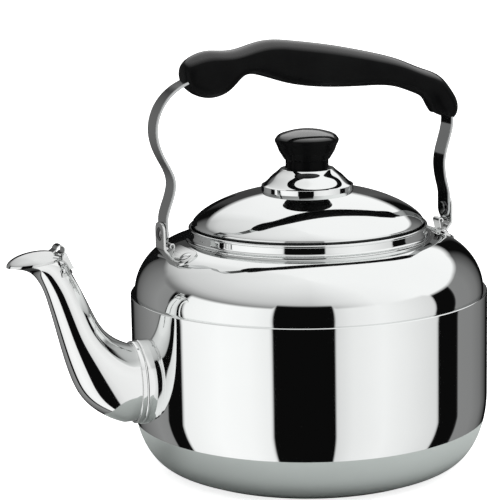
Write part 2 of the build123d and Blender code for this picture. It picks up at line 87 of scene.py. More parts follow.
def cubic(points, count, start=None, end=None, knots=None):
    """A cubic spline through rows of numbers, sampled evenly along its chord length."""
    p = np.array(points, float)
    t = knots
    if t is None:
        t = np.concatenate([[0], np.cumsum(np.linalg.norm(np.diff(p, axis=0), axis=1))])
    n = len(p)
    h = np.diff(t)
    a = np.zeros((n, n))
    b = np.zeros_like(p)
    for i in range(1, n - 1):
        a[i, i - 1] = h[i]
        a[i, i] = 2 * (h[i - 1] + h[i])
        a[i, i + 1] = h[i - 1]
        slope0 = (p[i] - p[i - 1]) / h[i - 1]
        slope1 = (p[i + 1] - p[i]) / h[i]
        b[i] = 3 * (h[i] * slope0 + h[i - 1] * slope1)
    if start is None:
        a[0, 0], a[0, 1] = 2, 1
        b[0] = 3 * (p[1] - p[0]) / h[0]
    else:
        a[0, 0] = 1
        b[0] = start
    if end is None:
        a[-1, -1], a[-1, -2] = 2, 1
        b[-1] = 3 * (p[-1] - p[-2]) / h[-1]
    else:
        a[-1, -1] = 1
        b[-1] = end
    m = np.linalg.solve(a, b)
    out = []
    for s in np.linspace(0, t[-1], count):
        i = min(max(np.searchsorted(t, s) - 1, 0), n - 2)
        u = (s - t[i]) / h[i]
        out.append((2 * u ** 3 - 3 * u ** 2 + 1) * p[i] + (u ** 3 - 2 * u ** 2 + u) * h[i] * m[i]
                   + (3 * u ** 2 - 2 * u ** 3) * p[i + 1] + (u ** 3 - u ** 2) * h[i] * m[i + 1])
    return np.array(out)


# ---------------------------------------------------------------- meshes


def add_mesh(name, verts, faces, sharp=32):
    mesh = bpy.data.meshes.new(name)
    mesh.from_pydata([tuple(float(c) * MM for c in v) for v in verts], [], faces)
    bm = bmesh.new()
    bm.from_mesh(mesh)
    bmesh.ops.remove_doubles(bm, verts=bm.verts, dist=1e-7)
    bmesh.ops.recalc_face_normals(bm, faces=bm.faces)
    bm.to_mesh(mesh)
    bm.free()
    mesh.polygons.foreach_set("use_smooth", [True] * len(mesh.polygons))
    mesh.set_sharp_from_angle(angle=radians(sharp))
    obj = bpy.data.objects.new(name, mesh)
    bpy.context.scene.collection.objects.link(obj)
    return obj


def grid(rows, close_rows=False, cap=False):
    """Vertices and faces of a net whose rows are closed loops of points."""
    rows = [list(r) for r in rows]
    width = len(rows[0])
    verts = [tuple(p) for r in rows for p in r]
    faces = []
    for i in range(len(rows) if close_rows else len(rows) - 1):
        j = (i + 1) % len(rows)
        for k in range(width):
            n = (k + 1) % width
            faces.append((i * width + k, i * width + n, j * width + n, j * width + k))
    if cap:
        faces.append(tuple(range(width))[::-1])
        faces.append(tuple((len(rows) - 1) * width + k for k in range(width)))
    return verts, faces


def merge(*parts):
    """Several (verts, faces) nets as one."""
    verts, faces = [], []
    for v, f in parts:
        base = len(verts)
        verts += list(v)
        faces += [tuple(base + i for i in face) for face in f]
    return verts, faces


def lathe(profile, segments=288):
    """A closed (radius, height) outline turned about Z."""
    angles = 2 * pi * np.arange(segments) / segments
    ring = [(cos(a), sin(a)) for a in angles]
    rows = [[(max(r, 0) * c, max(r, 0) * s, z) for c, s in ring] for r, z in profile]
    return grid(rows, close_rows=True)


def placed(net, matrix):
    verts, faces = net
    return [tuple(matrix @ Vector(v)) for v in verts], faces


def frame_matrix(origin, z_axis, x_hint=(0, 1, 0)):
    z = Vector(z_axis).normalized()
    x = Vector(x_hint)
    x = (x - z * x.dot(z)).normalized()
    y = z.cross(x)
    m = Matrix((x, y, z)).transposed().to_4x4()
    m.translation = Vector(origin)
    return m


def ribbon(path, half_width, thickness, corner=0.3, width_at=None):
    """Strip metal with softened edges along an (x, z) path."""
    p = np.array(path, float)
    tangent = np.gradient(p, axis=0)
    tangent /= np.linalg.norm(tangent, axis=1)[:, None]
    half = thickness / 2
    corner = min(corner, half * 0.9)
    rows = []
    for i in range(len(p)):
        normal = np.array([-tangent[i, 1], tangent[i, 0]])
        wide = half_width if width_at is None else width_at[i]
        c = min(corner, wide * 0.9)
        section = []
        for sx, sy, start in ((1, 1, 0), (-1, 1, 90), (-1, -1, 180), (1, -1, 270)):
            angles = np.radians(np.linspace(start, start + 90, 5))
            bend = [np.array([sx * (wide - c) + c * cos(a), sy * (half - corner) + corner * sin(a)])
                    for a in angles]
            flats = np.array([wide - c, half - corner]) * 0.4
            before, after = (np.array([-sin(a), cos(a)]) for a in angles[[0, -1]])
            section.append(bend[0] - before * min(0.2, abs(before @ flats)))
            section += bend
            section.append(bend[-1] + after * min(0.2, abs(after @ flats)))
        rows.append([(p[i, 0] + normal[0] * n, y, p[i, 1] + normal[1] * n) for y, n in section])
    return grid(rows, cap=True)


# ---------------------------------------------------------------- materials


class NodeTree:
    """A small helper that adds and links nodes; a socket or a number can be an input."""

    def __init__(self, owner):
        owner.use_nodes = True
        self.nodes = owner.node_tree.nodes
        self.links = owner.node_tree.links
        self.nodes.clear()

    def link(self, a, b):
        self.links.new(a, b)

    def feed(self, value, socket):
        if isinstance(value, tuple):
            socket.default_value = (*value, 1)
        elif isinstance(value, (int, float)):
            socket.default_value = value
        else:
            self.link(value, socket)

    def remap(self, value, low, high, to_low=0.0, to_high=1.0):
        node = self.nodes.new("ShaderNodeMapRange")
        ends = (("From Min", low), ("From Max", high), ("To Min", to_low), ("To Max", to_high))
        for name, number in ends:
            self.feed(number, node.inputs[name])
        self.link(value, node.inputs["Value"])
        return node.outputs[0]

    def math(self, operation, a, b=0.0):
        node = self.nodes.new("ShaderNodeMath")
        node.operation = operation
        self.feed(a, node.inputs[0])
        self.feed(b, node.inputs[1])
        return node.outputs[0]

    def mix(self, fac, a, b):
        node = self.nodes.new("ShaderNodeMix")
        node.data_type = "RGBA"
        for socket, value in ((node.inputs[0], fac), (node.inputs[6], a), (node.inputs[7], b)):
            self.feed(value, socket)
        return node.outputs[2]

    def ramp(self, value, stops):
        """Grey levels at given values, joined by straight runs."""
        low, high = stops[0][0], stops[-1][0]
        node = self.nodes.new("ShaderNodeValToRGB")
        self.link(self.remap(value, low, high), node.inputs[0])
        elements = node.color_ramp.elements
        elements.remove(elements[-1])
        for index, (at, level) in enumerate(stops):
            place = (at - low) / (high - low)
            element = elements.new(place) if index else elements[0]
            element.position = place
            element.color = (level, level, level, 1)
        return node.outputs[0]


class Shader(NodeTree):
    """The node tree of one material, with textures placed in the piece's own space."""

    def __init__(self, name):
        self.material = bpy.data.materials.new(name)
        super().__init__(self.material)
        out = self.nodes.new("ShaderNodeOutputMaterial")
        self.bsdf = self.nodes.new("ShaderNodeBsdfPrincipled")
        self.link(self.bsdf.outputs[0], out.inputs[0])
        self.coord = self.nodes.new("ShaderNodeTexCoord").outputs["Object"]

    def set(self, **values):
        for key, value in values.items():
            self.bsdf.inputs[key.replace("_", " ")].default_value = value

    def mapping(self, scale):
        node = self.nodes.new("ShaderNodeMapping")
        node.inputs["Scale"].default_value = scale
        self.link(self.coord, node.inputs["Vector"])
        return node.outputs[0]

    def noise(self, scale, detail=3.0, rough=0.5, vector=None, distortion=0.0):
        node = self.nodes.new("ShaderNodeTexNoise")
        node.inputs["Scale"].default_value = scale
        node.inputs["Detail"].default_value = detail
        node.inputs["Roughness"].default_value = rough
        node.inputs["Distortion"].default_value = distortion
        self.link(vector if vector is not None else self.coord, node.inputs["Vector"])
        return node.outputs["Fac"]

    def bump(self, height, distance, strength=1.0, normal=None):
        node = self.nodes.new("ShaderNodeBump")
        node.inputs["Strength"].default_value = strength
        node.inputs["Distance"].default_value = distance
        self.link(height, node.inputs["Height"])
        if normal is not None:
            self.link(normal, node.inputs["Normal"])
        return node.outputs[0]


def steel(name, colour, rough, wave=0.0, scratch=1.0, wave_scale=28.0):
    """Polished steel: slow waviness of the pressing, hairline scratches and wiped smears."""
    s = Shader(name)
    tone = s.noise(9.0, 4.0, 0.6)
    dark = tuple(c * 0.965 for c in colour)
    s.link(s.mix(s.remap(tone, 0.3, 0.7, 0.0, 1.0), dark, colour), s.bsdf.inputs["Base Color"])
    hair = s.noise(60.0, 3.0, 0.6, s.mapping((1.0, 1.0, 22.0)))
    hair2 = s.noise(90.0, 2.0, 0.6, s.mapping((14.0, 14.0, 1.0)))
    smear = s.noise(14.0, 5.0, 0.65, distortion=0.6)
    streaks = s.math("ADD", s.remap(hair, 0.62, 0.8, 0.0, 0.05 * scratch),
                     s.remap(hair2, 0.66, 0.82, 0.0, 0.03 * scratch))
    base = s.remap(smear, 0.4, 0.75, rough, rough + 0.035)
    s.link(s.math("ADD", base, streaks), s.bsdf.inputs["Roughness"])
    s.set(Metallic=1.0)
    slow = s.noise(wave_scale, 1.0, 0.4)
    normal = s.bump(slow, 0.00002, wave) if wave else None
    s.link(s.bump(hair, 0.0000015, 0.3 * scratch, normal), s.bsdf.inputs["Normal"])
    return s.material


def phenolic(name, rough, shine, gloss, gloss_rough):
    """Moulded black heat-resistant plastic, with a gloss coat on the faces that look upwards."""
    s = Shader(name)
    mottle = s.noise(35.0, 5.0, 0.6)
    s.link(s.mix(s.remap(mottle, 0.35, 0.7), (0.002, 0.002, 0.0022), (0.0042, 0.0044, 0.0044)),
           s.bsdf.inputs["Base Color"])
    handled = s.noise(22.0, 4.0, 0.6, distortion=0.5)
    fine = s.noise(900.0, 2.0, 0.5)
    level = s.remap(handled, 0.35, 0.7, rough, rough + 0.1)
    s.link(s.math("ADD", level, s.remap(fine, 0.4, 0.7, 0.0, 0.05)), s.bsdf.inputs["Roughness"])
    s.set(IOR=1.5, Specular_IOR_Level=shine, Coat_IOR=gloss, Coat_Roughness=gloss_rough)
    split = s.nodes.new("ShaderNodeSeparateXYZ")
    s.link(s.nodes.new("ShaderNodeNewGeometry").outputs["Normal"], split.inputs[0])
    s.link(s.remap(split.outputs[2], 0.5, 0.7), s.bsdf.inputs["Coat Weight"])
    s.link(s.bump(fine, 0.00001, 0.35, s.bump(mottle, 0.00006, 0.3)), s.bsdf.inputs["Normal"])
    return s.material


def turned_metal(name, colour, rough, rings=900.0):
    """Metal with fine circular lines about the vertical axis."""
    s = Shader(name)
    split = s.nodes.new("ShaderNodeSeparateXYZ")
    s.link(s.coord, split.inputs[0])
    radius = s.math("SQRT", s.math("ADD", s.math("MULTIPLY", split.outputs[0], split.outputs[0]),
                                   s.math("MULTIPLY", split.outputs[1], split.outputs[1])))
    comb = s.nodes.new("ShaderNodeCombineXYZ")
    s.link(radius, comb.inputs[0])
    lines = s.noise(rings, 4.0, 0.7, comb.outputs[0])
    tone = s.noise(12.0, 4.0, 0.6)
    dark = tuple(c * 0.75 for c in colour)
    s.link(s.mix(s.remap(tone, 0.3, 0.7, 0.0, 1.0), dark, colour), s.bsdf.inputs["Base Color"])
    s.link(s.remap(lines, 0.3, 0.7, rough, rough + 0.15), s.bsdf.inputs["Roughness"])
    s.set(Metallic=1.0)
    s.link(s.bump(lines, 0.00002, 0.4), s.bsdf.inputs["Normal"])
    return s.material


MIRROR = steel("mirror_steel", (0.83, 0.845, 0.84), 0.02, 0.0, 0.5)
SPOUT_STEEL = steel("spout_steel", (0.82, 0.83, 0.825), 0.035, 0.5, 0.8, 60.0)
LID_STEEL = steel("lid_steel", (0.83, 0.845, 0.84), 0.02, 0.0, 0.5)
FITTING = steel("fitting_steel", (0.7, 0.71, 0.705), 0.05, 0.4, 1.2, 150.0)
STRAP_STEEL = steel("strap_steel", (0.5, 0.51, 0.51), 0.06, 0.25, 1.5, 120.0)
# The lid's skirt is painted near black: painted shade for the dark gap between the lid's hem and the
# neck's bead.
SKIRT_PAINTED_SHADE = steel("skirt_painted_shade_steel", (0.045, 0.047, 0.047), 0.3, 0.2, 1.5, 120.0)
PIVOT_STEEL = steel("pivot_steel", (0.2, 0.2, 0.2), 0.12, 0.8, 1.2, 300.0)
RIVET = steel("rivet_steel", (0.76, 0.77, 0.77), 0.1, 0.8, 1.2, 300.0)
BASE_STEEL = turned_metal("base_steel", (0.62, 0.61, 0.6), 0.28)
ALUMINIUM = turned_metal("core_aluminium", (0.72, 0.72, 0.73), 0.35)
GRIP_BLACK = phenolic("black_phenolic", 0.25, 0.04, 1.6, 0.12)
KNOB_BLACK = phenolic("knob_phenolic", 0.2, 0.03, 2.4, 0.1)
BRASS = turned_metal("brass", (0.7, 0.52, 0.22), 0.25, 3000.0)
SCREW = turned_metal("screw_steel", (0.5, 0.5, 0.5), 0.25, 3000.0)
WHISTLE = turned_metal("whistle_steel", (0.62, 0.62, 0.62), 0.22, 2000.0)


def finish_piece(obj, material, body, slot, *nodes):
    """Dress a piece, and say which body it rides on and which CAD nodes it stands for."""
    obj.data.materials.clear()
    obj.data.materials.append(material)
    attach(obj, body)
    if nodes:
        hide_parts(*nodes)
    return obj


# ---------------------------------------------------------------- vessel


def lower_shell():
    inner = BODY_R - SHEET
    lip = DOME_R + 0.05
    r = 0.7
    profile = [(0, 2.0)] + line((3, 2.0), (85.2, 2.0), 14)
    profile += arc(CORNER_R, CORNER_Z, BODY_R - CORNER_R, 43.0, 270, 360, 64)
    profile += line((BODY_R, 48), (BODY_R, SEAM_Z - r), 18)
    profile += arc(BODY_R - r, SEAM_Z - r, r, r, 5, 90, 8)
    profile += [(lip, SEAM_Z), (lip, SEAM_Z - SHEET), (inner, SEAM_Z - SHEET)]
    profile += line((inner, SEAM_Z - 4), (inner, 46), 6)
    profile += arc(CORNER_R, CORNER_Z, inner - CORNER_R, 42.2, 360, 270, 32)
    profile += [(80, 2.8), (0, 2.8)]
    obj = add_mesh("pot_shell", *lathe(profile, 360))
    return finish_piece(obj, MIRROR, "vessel", "mirror_steel", "lower_shell")


def shoulder_dome():
    profile = arc(CROWN_R, SEAM_Z, DOME_R - CROWN_R, DOME_H, 0, 90, 80)
    profile += arc(CROWN_R, SEAM_Z, DOME_R - SHEET - CROWN_R, DOME_H - SHEET, 90, 0, 40)
    profile += [(DOME_R - SHEET, SEAM_Z - 1.8), (108.35, SEAM_Z - 3.8), (108.35, SEAM_Z - 7.5),
                (109.1, SEAM_Z - 7.5), (109.1, SEAM_Z - 3.5), (DOME_R, SEAM_Z - 1.4)]
    obj = add_mesh("shoulder", *lathe(profile, 360))
    return finish_piece(obj, MIRROR, "vessel", "mirror_steel", "shoulder_dome")


def neck_ring():
    inner = NECK_R - SHEET
    foot = SEAM_Z + DOME_H + 0.5
    fillet = 2.2
    profile = [(FOOT_R, foot - 0.6)] + arc(FOOT_R - 0.25, foot - 0.25, 0.25, 0.25, 0, 90, 4)
    profile += arc(NECK_R + fillet, foot + fillet, fillet, fillet, 270, 180, 14)
    profile += line((NECK_R, foot + 3.0), (NECK_R, NECK_TOP - 0.85), 5)
    profile += arc(NECK_R + 0.35, NECK_TOP, 0.9, 0.9, 247, 510, 28)[1:]
    profile += [(inner, NECK_TOP - 1), (inner, foot - 0.6), (NECK_R, foot - 0.45)]
    obj = add_mesh("neck_band", *lathe(profile, 360))
    return finish_piece(obj, MIRROR, "vessel", "mirror_steel", "neck_ring")


def base_cap():
    profile = [(0, 0)] + line((4, 0), (82.4, 0), 12)
    profile += arc(83.2, 2.0, 2.0, 2.0, 270, 360, 10)
    profile += [(84.6, 2.0)] + arc(83.2, 2.0, 1.4, 1.4, 360, 270, 8) + [(0, 0.6)]
    obj = add_mesh("base_capsule", *lathe(profile, 288))
    return finish_piece(obj, BASE_STEEL, "vessel", "base_steel", "base_cap")


# ---------------------------------------------------------------- spout

SPOUT_SECTIONS = [
    (-106.0, 62.4, 24.6, 18.2), (-118.5, 63.3, 24.5, 18.4), (-129.8, 68.6, 22.4, 17.8),
    (-141.0, 80.3, 17.8, 15.8), (-148.6, 94.0, 13.5, 13.2), (-154.0, 108.4, 11.6, 11.5),
    (-158.6, 121.0, 10.4, 10.3),
]
LIP_SECTIONS = [
    ((-172.6, 128.6), (-153.8, 134.6), 9.8),
    ((-179.0, 136.3), (-156.2, 139.4), 10.6),
    ((-191.6, 139.9), (-159.8, 143.4), 11.4),
]


def spout_edges():
    """Front point, back point and half width of every section, smoothly interpolated."""
    centres = [np.array(s[:2]) for s in SPOUT_SECTIONS]
    centres.append((np.array(LIP_SECTIONS[0][0]) + np.array(LIP_SECTIONS[0][1])) / 2)
    rows = []
    for i, (_, _, high, wide) in enumerate(SPOUT_SECTIONS):
        t = centres[i + 1] - centres[max(i - 1, 0)]
        t = t / np.linalg.norm(t)
        back = np.array([t[1], -t[0]]) * high
        rows.append([*(centres[i] - back), *(centres[i] + back), wide])
    for front, back, wide in LIP_SECTIONS:
        rows.append([*front, *back, wide])
    rows = np.array(rows)
    middle = (rows[:, 0:2] + rows[:, 2:4]) / 2
    knots = np.concatenate([[0], np.cumsum(np.linalg.norm(np.diff(middle, axis=0), axis=1))])
    return cubic(rows, 150, knots=knots)


def spout_ring(row, inset):
    count = 96
    front, back, wide = np.array(row[0:2]), np.array(row[2:4]), row[4] - inset
    half = (back - front) / 2
    half = half * (1 - inset / np.linalg.norm(half))
    centre = (front + back) / 2
    ring = []
    for k in range(count):
        a = 2 * pi * k / count
        p = centre + half * cos(a)
        ring.append((p[0], wide * sin(a), p[1]))
    return ring


def wall_ring(row, inset):
    """The spout's root, cut to the vessel's round wall."""
    ring = spout_ring(row, inset)
    return [(-sqrt((BODY_R + 0.02) ** 2 - y * y), y, z) for _, y, z in ring]


def spout():
    rows = spout_edges()
    start = next(i for i, r in enumerate(rows) if max(r[0], r[2]) < -112.0)
    outer = [wall_ring(rows[start], 0)] + [spout_ring(r, 0) for r in rows[start:]]
    inner = [wall_ring(rows[start], SPOUT_SHEET)] + [spout_ring(r, SPOUT_SHEET) for r in rows[start:]]
    rim = [spout_ring(rows[-1], i) for i in (0.25, 0.6)]
    obj = add_mesh("spout_tube", *grid(outer + rim + inner[::-1], close_rows=True), sharp=50)
    return finish_piece(obj, SPOUT_STEEL, "vessel", "spout_steel", "spout")


def collar():
    """Two rolled beads round the spout's root, following the round wall."""
    count = 144
    wide, high, middle = 18.3, 24.5, 62.9
    quarter = pi / 2
    outline = [(-100.0, -0.6), (-100.0, 1.4), (-111.8, 1.4)]
    outline += [(-113.3 - 1.2 * sin(t), 0.2 + 1.2 * cos(t)) for t in np.linspace(0, quarter, 8)]
    outline += [(-114.6, 0.75)]
    outline += [(-117.0 - 0.55 * sin(t), 0.1 + 0.6 * cos(t)) for t in np.linspace(0, quarter, 6)]
    outline += [(-117.55, -0.6)]
    rows = []
    for k in range(count):
        a = 2 * pi * k / count
        normal = np.array([sin(a) / wide, cos(a) / high])
        normal /= np.linalg.norm(normal)
        row = []
        for x, stand in outline:
            y = wide * sin(a) + normal[0] * stand
            z = middle + high * cos(a) + normal[1] * stand
            if x > -112:
                x = min(x, -sqrt(BODY_R ** 2 - y * y))
            row.append((x, y, z))
        rows.append(row)
    obj = add_mesh("collar", *grid(rows, close_rows=True), sharp=60)
    return finish_piece(obj, SPOUT_STEEL, "vessel", "spout_steel", "spout_collar")


# ---------------------------------------------------------------- lid and knob


def lid_height(radius):
    c = min(radius / LID_R, 1.0) ** (1 / LID_FLARE)
    return LID_Z + LID_H * (1 - c * c) ** (LID_RISE / 2)


def lid_shell():
    def crown(inset, count):
        out = []
        for a in np.radians(np.linspace(0, 90, count)):
            radius = (LID_R - inset) * max(cos(a), 0) ** LID_FLARE
            out.append((radius, LID_Z + (LID_H - inset) * sin(a) ** LID_RISE))
        return out

    profile = crown(0, 110)
    profile[-1] = (0.0, LID_Z + LID_H)
    under = crown(SHEET, 50)[::-1]
    under[0] = (0.0, LID_Z + LID_H - SHEET)
    profile += under
    hem = arc(LID_R - 0.3, LID_Z - 0.4, 0.5, 0.5, 180, 413, 20)
    profile += hem[:-1]
    obj = add_mesh("lid_dome", *lathe(profile, 360), sharp=40)
    return finish_piece(obj, LID_STEEL, "lid", "lid_steel", "lid_shell")


def lid_skirt():
    low, high = LID_Z - 10, LID_Z + 1.1
    profile = [(SKIRT_R - 0.6, low + 0.3)] + arc(SKIRT_R - 0.3, low + 0.3, 0.3, 0.3, 180, 360, 8)
    profile += [(SKIRT_R, high - 0.4), (SKIRT_R - 0.6, high)]
    obj = add_mesh("lid_collar", *lathe(profile, 288))
    # Near-black skirt: painted shade in the gap under the lid's hem.
    return finish_piece(obj, SKIRT_PAINTED_SHADE, "lid", "fitting_steel", "lid_skirt")


def knob_cap():
    low = lid_height(CAP_R) - 0.1
    outer = cubic([(27.8, 174.5), (21.3, 180.2), (16.8, 184.0)], 28,
                  start=(-0.9, 0.44), end=(-0.67, 0.74))
    profile = line((CAP_R, low), (CAP_R, 174.0), 6) + arc(27.8, 174.1, 0.4, 0.4, 10, 90, 8)
    profile += [tuple(p) for p in outer[1:-1]]
    profile += [(16.8, 184.0), (16.6, 184.25), (16.2, 184.38), (15.4, 184.4), (13.8, 184.3)]
    profile += [(13.35, 183.9)]
    profile += [(13.35, 181.5), (0, 181.5), (0, 180.7), (14.15, 180.7), (15.9, 183.1)]
    profile += [(p[0] - 0.75, p[1] - 0.75) for p in outer[::-1][2:-1]]
    profile += [(27.4, 173.5), (27.4, low)]
    obj = add_mesh("knob_cup", *lathe(profile, 256))
    return finish_piece(obj, LID_STEEL, "lid", "lid_steel", "knob_cap")


def knob():
    side = cubic([(14.1, 190.2), (15.8, 193.0), (17.1, 195.2), (18.4, 198.6), (19.3, 200.4)], 24)
    top = cubic([(19.55, 202.2), (17.9, 204.4), (13.8, 206.3), (7.0, 207.9), (0.0, 208.45)], 30)
    profile = [(0, 181.5), (13.2, 181.5)] + line((13.2, 182), (13.2, 189.3), 6)
    profile += [(13.3, 189.7), (13.6, 190.0)]
    profile += [tuple(p) for p in side] + [(19.62, 201.2), (19.66, 201.7)] + [tuple(p) for p in top]
    obj = add_mesh("knob_body", *lathe(profile, 256))
    return finish_piece(obj, KNOB_BLACK, "lid", "knob_phenolic", "knob")


# ---------------------------------------------------------------- lugs and pivots


def dome_height(x, y):
    run = min(max((hypot(x, y) - CROWN_R) / (DOME_R - CROWN_R), 0.0), 0.999)
    return SEAM_Z + DOME_H * sqrt(1 - run * run)


def side_name(side):
    return "front" if side < 0 else "rear"


def lug(side):
    """Base plate, outer tab and curled tongue."""
    half_long, full = 21.5, 6.5
    outline = []
    straight = half_long - full
    for a in np.radians(np.linspace(0, 360, 97)[:-1]):
        outline.append((cos(a), sin(a), straight if sin(a) >= 0 else -straight))

    def ring(radius, lift):
        pts = []
        for c, s, offset in outline:
            x, y = side * (LUG_X + radius * c), offset + radius * s
            pts.append((x, y, dome_height(x, y) + lift))
        return pts

    rings = [ring(full - inset, lift) for inset, lift in (
        (0, -0.3), (0, 0.7), (0.08, 0.95), (0.25, 1.13), (0.5, 1.2), (0.7, 1.2))]
    rings += [ring(r, 1.2) for r in (5, 3.5, 2, 1, 0.02)]
    plate = grid(rings)
    middle = STRAP_X + STRAP_SHEET / 2 + PIVOT_GAP + STRAP_SHEET / 2
    bend_z, slope, bend_r = 144.18, radians(43), 3.0
    bend_x = middle - bend_r
    path = line((91.8, 136.9), (bend_x + bend_r * cos(slope), bend_z - bend_r * sin(slope)), 8)[:-1]
    path += [(bend_x + bend_r * cos(a), bend_z - bend_r * sin(a)) for a in np.linspace(slope, 0, 14)]
    path += [(middle, z) for z in np.linspace(bend_z + 0.3, PIVOT_Z + STRAP_HALF, 50)]
    rise = [min(max(z - PIVOT_Z, 0) / STRAP_HALF, 0.99) for _, z in path]
    widths = [STRAP_HALF * (1 - t ** 3) ** (1 / 3) for t in rise]
    tab = ribbon([(side * x, z) for x, z in path], STRAP_HALF, STRAP_SHEET, 0.35, widths)
    foot, top, r = (91.2, 136.6), (89.6, 144.0), 1.3
    d = np.array([top[0] - foot[0], top[1] - foot[1]])
    d /= np.linalg.norm(d)
    n = np.array([d[1], -d[0]])
    c = np.array(top) + n * r
    a0 = degrees(atan2(-n[1], -n[0]))
    path = line(foot, top, 12) + arc(c[0], c[1], r, r, a0, a0 - 250, 30)[1:]
    tongue = ribbon([(side * x, z) for x, z in path], 4.0, 1.0, 0.25)
    name = side_name(side)
    obj = add_mesh(f"{name}_lug_plate", *merge(plate, tab, tongue), sharp=40)
    return finish_piece(obj, FITTING, "vessel", "fitting_steel", f"{name}_lug")


def rivet_net(head_r, head_h, shank_r, length, tail_r, tail_h):
    """Head below zero, shank up to length, tail above; turned about local Z."""
    ball = (head_r ** 2 + head_h ** 2) / (2 * head_h)
    edge = degrees(np.arcsin(head_r / ball))
    profile = [(ball * sin(radians(a)), ball - head_h - ball * cos(radians(a)))
               for a in np.linspace(0, edge, 16)]
    profile += [(shank_r, 0), (shank_r, length), (tail_r, length)]
    edge_r = tail_h * 0.45
    profile += arc(tail_r - edge_r, length + tail_h * 0.55, edge_r, edge_r, 0, 90, 6)
    profile += [(0, length + tail_h)]
    return lathe(profile, 64)


def pivot_rivet(side):
    outside = STRAP_X + STRAP_SHEET / 2 + PIVOT_GAP + STRAP_SHEET
    inside = STRAP_X - STRAP_SHEET / 2 - PIVOT_GAP
    net = rivet_net(4.2, 1.5, 2.45, outside - inside, 3.8, 1.1)
    m = frame_matrix((side * outside, 0, PIVOT_Z), (-side, 0, 0))
    name = side_name(side)
    obj = add_mesh(f"{name}_pivot", *placed(net, m), sharp=40)
    return finish_piece(obj, PIVOT_STEEL, "vessel", "rivet_steel", f"{name}_pivot_rivet")


def lug_rivets():
    nets = []
    for side in (-1, 1):
        for y in (-LUG_RIVET_Y, LUG_RIVET_Y):
            x = side * LUG_X
            z = dome_height(x, y)
            r = hypot(x, y)
            out = (r - CROWN_R) / (DOME_R - CROWN_R) ** 2 / r
            normal = Vector((x * out, y * out, (z - SEAM_Z) / DOME_H ** 2)).normalized()
            net = rivet_net(3.6, 1.1, 1.6, 2.1, 2.8, 0.9)
            nets.append(placed(net, frame_matrix(Vector((x, y, z)) + normal * 1.2, -normal)))
    obj = add_mesh("lug_rivet_heads", *merge(*nets), sharp=40)
    return finish_piece(obj, RIVET, "vessel", "rivet_steel", "lug_rivets")


# ---------------------------------------------------------------- bail

FRONT_LINE = [(-92.6, 169.0), (-89.4, 183.0), (-96.0, 198.5), (-99.9, 215.0), (-93.9, 231.0),
              (-80.0, 241.3), (-63.0, 245.6)]
REAR_LINE = [(93.1, 169.0), (91.7, 183.0), (95.6, 198.5), (97.2, 209.0), (91.0, 223.5),
             (76.0, 232.0)]


def strap(side, points):
    start = (side * STRAP_X, 159.5)
    upper = cubic([start] + points, 150, start=(0, 1))
    path = [(side * STRAP_X, z) for z in np.concatenate(
        [144.83 + STRAP_HALF * (1 - np.cos(np.linspace(0, pi / 2, 16))), np.linspace(152.5, 159.2, 6)])]
    path += [tuple(p) for p in upper]
    below = [min(z - PIVOT_Z, 0) for _, z in path]
    widths = [max(sqrt(max(STRAP_HALF ** 2 - drop ** 2, 0)), 0.4) for drop in below]
    name = side_name(side)
    bar = ribbon(path, STRAP_HALF, STRAP_SHEET, 0.4, widths)
    obj = add_mesh(f"{name}_strap_bar", *bar, sharp=40)
    return finish_piece(obj, STRAP_STEEL, "bail", "strap_steel", f"{name}_strap")


GRIP_SECTIONS = [
    (-80.6, 244.8, 3.4, 5.0), (-79.6, 244.9, 6.8, 7.8), (-77.4, 245.1, 9.3, 9.3),
    (-73.5, 245.4, 11.7, 10.3), (-65.0, 245.2, 14.1, 11.0), (-56.0, 246.6, 13.2, 11.0),
    (-44.6, 251.0, 8.7, 10.6), (-32.0, 253.1, 10.0, 10.8), (-12.0, 250.1, 12.8, 11.2),
    (14.0, 246.0, 12.9, 11.2), (40.5, 242.7, 10.6, 11.0), (62.0, 238.7, 8.4, 10.8),
    (75.5, 233.6, 8.0, 10.6), (85.3, 228.9, 8.6, 10.6), (91.2, 221.4, 9.2, 10.4),
    (94.4, 216.0, 9.0, 10.0), (94.4, 212.8, 8.3, 9.3), (93.8, 211.0, 7.0, 8.0),
    (93.5, 210.3, 4.8, 6.0),
]


def grip():
    centres = np.array([s[:2] for s in GRIP_SECTIONS])
    last = len(centres) - 1
    rows = []
    for i, (_, _, high, wide) in enumerate(GRIP_SECTIONS):
        t = centres[min(i + 1, last)] - centres[max(i - 1, 0)]
        t = t / np.linalg.norm(t)
        up = np.array([-t[1], t[0]]) * high
        rows.append([*(centres[i] + up), *(centres[i] - up), wide])
    rings = []
    count = 72
    for row in cubic(rows, 260):
        top, bottom, wide = row[0:2], row[2:4], row[4]
        centre, half = (top + bottom) / 2, (top - bottom) / 2
        ring = []
        for k in range(count):
            a = 2 * pi * k / count
            p = centre + half * cos(a)
            ring.append((p[0], wide * sin(a), p[1]))
        rings.append(ring)
    ends = []
    for ring, step in ((rings[0], -1), (rings[-1], 1)):
        pts = np.array(ring)
        mid = pts.mean(axis=0)
        ends.append([tuple(mid + (p - mid) * 0.55) for p in pts])
    rings = [ends[0]] + rings + [ends[1]]
    obj = add_mesh("handle_grip", *grid(rings, cap=True), sharp=60)
    return finish_piece(obj, GRIP_BLACK, "bail", "black_phenolic", "grip")


# ---------------------------------------------------------------- whistle flap

HINGE = (-158.6, 145.4)
MOUTH_FRONT, MOUTH_BACK = (np.array(end) for end in LIP_SECTIONS[-1][:2])
MOUTH_MID = (MOUTH_FRONT + MOUTH_BACK) / 2
MOUTH_ALONG = (MOUTH_BACK - MOUTH_FRONT) / np.linalg.norm(MOUTH_BACK - MOUTH_FRONT)
MOUTH_UP = np.array([-MOUTH_ALONG[1], MOUTH_ALONG[0]])


def flap_point(u, y, w):
    p = MOUTH_MID + MOUTH_ALONG * u + MOUTH_UP * (w + 0.25)
    return (p[0], y, p[1])


